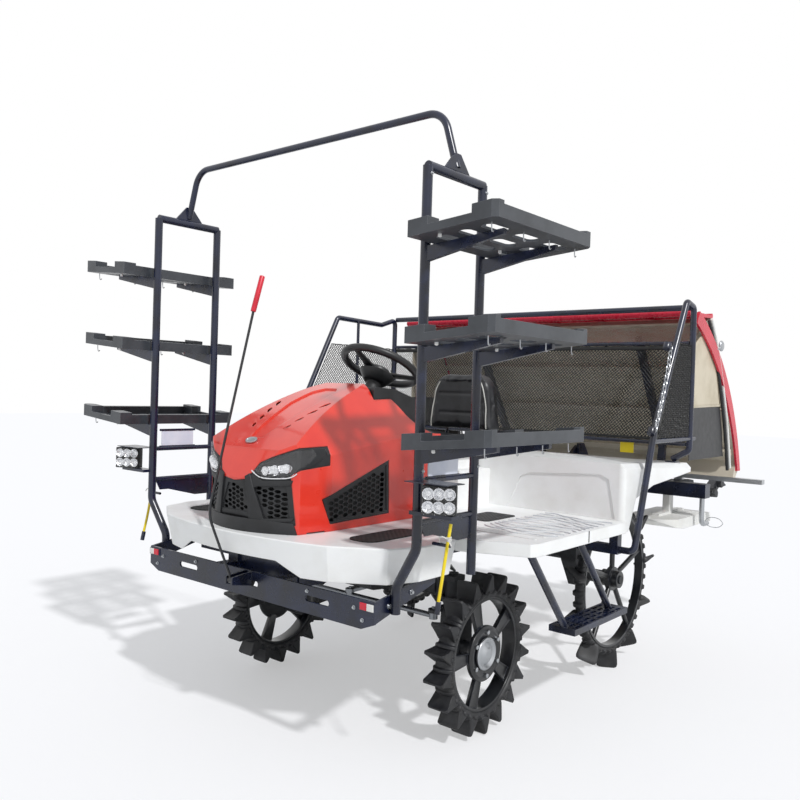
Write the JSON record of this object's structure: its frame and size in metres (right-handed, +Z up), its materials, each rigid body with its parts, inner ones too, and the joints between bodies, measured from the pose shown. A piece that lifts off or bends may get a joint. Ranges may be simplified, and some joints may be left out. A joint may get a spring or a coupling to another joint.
{
  "type": "riding rice transplanter",
  "caption": "ride-on rice transplanter with paddle wheels, tray racks, a lifting planting unit with rotary planting arms and a sideways-moving seedling table",
  "frame": {"origin": "on the ground, under the middle of the machine's overall box", "axes": "X across the machine, positive to the driver's left; Y along it, the machine faces -Y; Z up"},
  "size_m": [2.268, 3.2891, 2.3692],
  "materials": {
    "orange_paint": "semi-gloss enamel",
    "black_plastic": "fine-grained moulded",
    "clear_lens": "polished",
    "offwhite_plastic": "satin moulded",
    "black_vinyl": "grained, pleated",
    "navy_paint": "satin enamel",
    "grey_paint": "satin enamel",
    "cast_metal": "painted casting",
    "lamp_chrome": "polished",
    "yellow_plastic": "bright",
    "net_cord": "woven net",
    "bare_steel": "drawn",
    "rim_paint": "satin enamel",
    "tyre_rubber": "moulded, dusty",
    "rail_aluminium": "extruded",
    "crimson_plastic": "moulded",
    "cream_plastic": "satin moulded",
    "mat_rubber": "ribbed mat",
    "rotor_plastic": "moulded"
  },
  "bodies": {
    "chassis": {"main_frame": "navy_paint", "front_bumper": "navy_paint", "engine_block": "grey_paint", "gearbox": "cast_metal", "front_axle": "cast_metal", "rear_axle": "cast_metal", "front_deck": "offwhite_plastic", "side_decks": "offwhite_plastic", "rear_cover": "offwhite_plastic", "deck_mats": "mat_rubber", "seat_pedestal": "offwhite_plastic", "seat_cushion": "black_vinyl", "seat_back": "black_vinyl", "dash_panel": "black_plastic", "steering_column": "black_plastic", "rack_left": "navy_paint", "rack_right": "navy_paint", "shelves_left": "grey_paint", "shelves_right": "grey_paint", "top_hoop": "navy_paint", "work_lamps": "lamp_chrome", "sight_rods": "yellow_plastic", "rear_handrails": "navy_paint", "safety_nets": "net_cord", "side_steps": "navy_paint"},
    "bonnet": {"bonnet": "orange_paint", "front_mask": "black_plastic", "headlamps": "clear_lens", "side_grilles": "black_plastic"},
    "steering_wheel": {"steering_wheel": "black_plastic"},
    "pitman_arm": {"pitman_arm": "bare_steel"},
    "tie_rod": {"tie_rod": "bare_steel"},
    "knuckle_left": {"knuckle_left": "cast_metal"},
    "knuckle_right": {"knuckle_right": "cast_metal"},
    "front_wheel_left": {"front_rim_left": "rim_paint", "front_tyre_left": "tyre_rubber"},
    "front_wheel_right": {"front_rim_right": "rim_paint", "front_tyre_right": "tyre_rubber"},
    "rear_wheel_left": {"rear_rim_left": "rim_paint", "rear_tyre_left": "tyre_rubber"},
    "rear_wheel_right": {"rear_rim_right": "rim_paint", "rear_tyre_right": "tyre_rubber"},
    "marker_pole": {"marker_pole": "bare_steel"},
    "lower_link": {"lower_link": "navy_paint"},
    "upper_links": {"upper_links": "navy_paint"},
    "lift_barrel": {"lift_barrel": "navy_paint"},
    "lift_rod": {"lift_rod": "lamp_chrome"},
    "planting_unit": {"planter_frame": "navy_paint", "planting_cases": "cast_metal", "guide_rail": "rail_aluminium", "floats": "offwhite_plastic"},
    "seedling_table": {"seedling_table": "cream_plastic", "table_cheeks": "crimson_plastic", "table_roof": "crimson_plastic"},
    "planting_rotor_1": {"planting_rotor_1": "rotor_plastic"},
    "planting_rotor_2": {"planting_rotor_2": "rotor_plastic"},
    "planting_rotor_3": {"planting_rotor_3": "rotor_plastic"}
  },
  "joints": [
    {"name": "steer", "type": "hinge", "parent": "chassis", "child": "knuckle_left", "pos_m": [0.462, -0.742, 0.47], "axis": [0, 0, 1], "range_deg": [-35, 35]},
    {"name": "steer_right", "type": "hinge", "parent": "chassis", "child": "knuckle_right", "pos_m": [-0.462, -0.742, 0.47], "axis": [0, 0, 1], "range_deg": [-35, 35]},
    {"name": "pitman_turn", "type": "hinge", "parent": "chassis", "child": "pitman_arm", "pos_m": [0, -0.742, 0.4833], "axis": [0, 0, 1], "range_deg": [-35, 35]},
    {"name": "tie_rod_turn", "type": "hinge", "parent": "pitman_arm", "child": "tie_rod", "pos_m": [0, -0.872, 0.47], "axis": [0, 0, 1], "range_deg": [-35, 35]},
    {"name": "steering_wheel_turn", "type": "hinge", "parent": "chassis", "child": "steering_wheel", "pos_m": [0, -0.718, 1.482], "axis": [0, 0.454, 0.891], "range_deg": [-450, 450]},
    {"name": "front_wheel_left_spin", "type": "hinge", "parent": "knuckle_left", "child": "front_wheel_left", "pos_m": [0.605, -0.742, 0.325], "axis": [1, 0, 0], "continuous": true},
    {"name": "front_wheel_right_spin", "type": "hinge", "parent": "knuckle_right", "child": "front_wheel_right", "pos_m": [-0.605, -0.742, 0.325], "axis": [1, 0, 0], "continuous": true},
    {"name": "rear_wheel_left_spin", "type": "hinge", "parent": "chassis", "child": "rear_wheel_left", "pos_m": [0.643, 0.388, 0.45], "axis": [1, 0, 0], "continuous": true},
    {"name": "rear_wheel_right_spin", "type": "hinge", "parent": "chassis", "child": "rear_wheel_right", "pos_m": [-0.643, 0.388, 0.45], "axis": [1, 0, 0], "continuous": true},
    {"name": "marker_pole_fold", "type": "hinge", "parent": "chassis", "child": "marker_pole", "pos_m": [0, -1.532, 0.64], "axis": [1, 0, 0], "range_deg": [0, 85]},
    {"name": "bonnet_open", "type": "hinge", "parent": "chassis", "child": "bonnet", "pos_m": [0, -1.514, 0.8403], "axis": [1, 0, 0], "range_deg": [0, 50]},
    {"name": "lift", "type": "hinge", "parent": "chassis", "child": "lower_link", "pos_m": [0, 0.548, 0.545], "axis": [1, 0, 0], "range_deg": [-60, 0]},
    {"name": "upper_link_turn", "type": "hinge", "parent": "chassis", "child": "upper_links", "pos_m": [0, 0.488, 0.775], "axis": [1, 0, 0], "range_deg": [-60, 0]},
    {"name": "unit_level", "type": "hinge", "parent": "lower_link", "child": "planting_unit", "pos_m": [0, 1.03297, 0.825], "axis": [1, 0, 0], "range_deg": [0, 60]},
    {"name": "lift_barrel_swing", "type": "hinge", "parent": "chassis", "child": "lift_barrel", "pos_m": [0, 0.198, 0.745], "axis": [1, 0, 0], "range_deg": [-15, 0]},
    {"name": "lift_rod_slide", "type": "slide", "parent": "lift_barrel", "child": "lift_rod", "axis": [0, 0.9855, -0.1695], "range_m": [0, 0.125]},
    {"name": "planting_rotor_1_spin", "type": "hinge", "parent": "planting_unit", "child": "planting_rotor_1", "pos_m": [-0.6, 1.52, 0.842], "axis": [1, 0, 0], "continuous": true},
    {"name": "planting_rotor_2_spin", "type": "hinge", "parent": "planting_unit", "child": "planting_rotor_2", "pos_m": [0, 1.52, 0.842], "axis": [1, 0, 0], "continuous": true},
    {"name": "planting_rotor_3_spin", "type": "hinge", "parent": "planting_unit", "child": "planting_rotor_3", "pos_m": [0.6, 1.52, 0.842], "axis": [1, 0, 0], "continuous": true},
    {"name": "table_shift", "type": "slide", "parent": "planting_unit", "child": "seedling_table", "axis": [1, 0, 0], "range_m": [-0.13, 0.13]}
  ],
  "couplings": [
    {"joint": "steer_right", "follows": "steer", "ratio": 1},
    {"joint": "pitman_turn", "follows": "steer", "ratio": 1},
    {"joint": "tie_rod_turn", "follows": "steer", "ratio": -1},
    {"joint": "steering_wheel_turn", "follows": "steer", "ratio": 12.857},
    {"joint": "bonnet_open", "follows": "marker_pole_fold", "ratio": 0.58822},
    {"joint": "upper_link_turn", "follows": "lift", "ratio": 1},
    {"joint": "unit_level", "follows": "lift", "ratio": -1},
    {"joint": "lift_barrel_swing", "follows": "lift", "ratio": 0.15568},
    {"joint": "lift_rod_slide", "follows": "lift", "m_per_rad": -0.11649},
    {"joint": "planting_rotor_2_spin", "follows": "planting_rotor_1_spin", "ratio": 1},
    {"joint": "planting_rotor_3_spin", "follows": "planting_rotor_1_spin", "ratio": 1}
  ]
}
